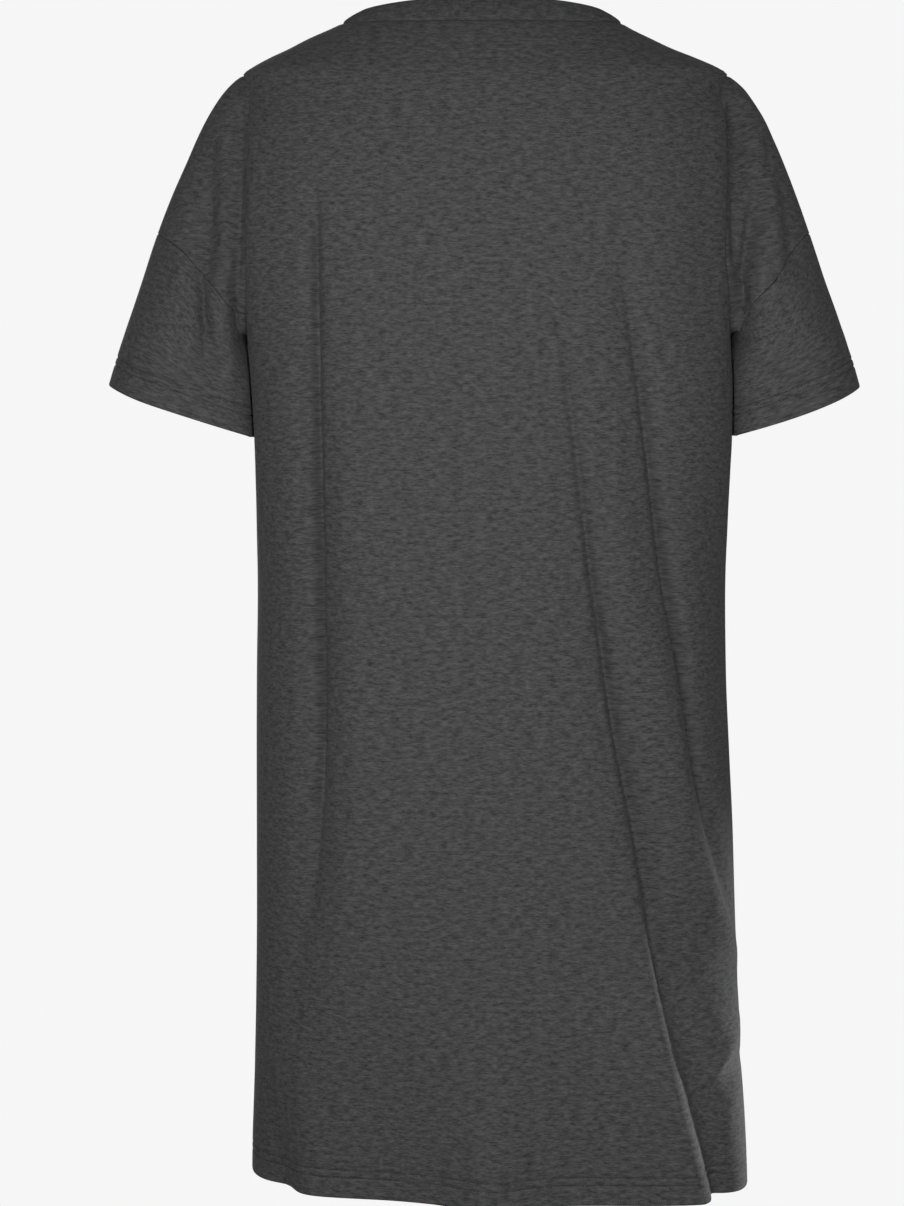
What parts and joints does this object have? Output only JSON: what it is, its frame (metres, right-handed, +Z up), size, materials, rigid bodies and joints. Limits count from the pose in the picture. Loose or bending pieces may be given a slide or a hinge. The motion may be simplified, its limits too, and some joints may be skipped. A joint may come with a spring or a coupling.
{
  "type": "nightshirt",
  "caption": "Short-sleeved jersey nightshirt with dropped shoulders, ribbed crew neck and stitched hems, filled out as when it is worn.",
  "frame": {"origin": "midway between the two high shoulder points, where the shoulder seams meet the neckband", "axes": "+Z up towards the neck, -Y out of the front, +Y out of the back, +X to the wearer's left"},
  "size_m": [0.5796, 0.2828, 0.911],
  "materials": {
    "jersey_back": "charcoal heather cotton jersey, matt",
    "jersey_front": "charcoal heather cotton jersey, matt",
    "jersey_sleeve_left": "charcoal heather cotton jersey, matt",
    "jersey_sleeve_right": "charcoal heather cotton jersey, matt",
    "rib": "charcoal heather one by one rib, matt"
  },
  "bodies": {
    "root": {"back": "jersey_back", "front": "jersey_front", "sleeve_left": "jersey_sleeve_left", "sleeve_right": "jersey_sleeve_right", "neckband": "rib"}
  },
  "joints": []
}
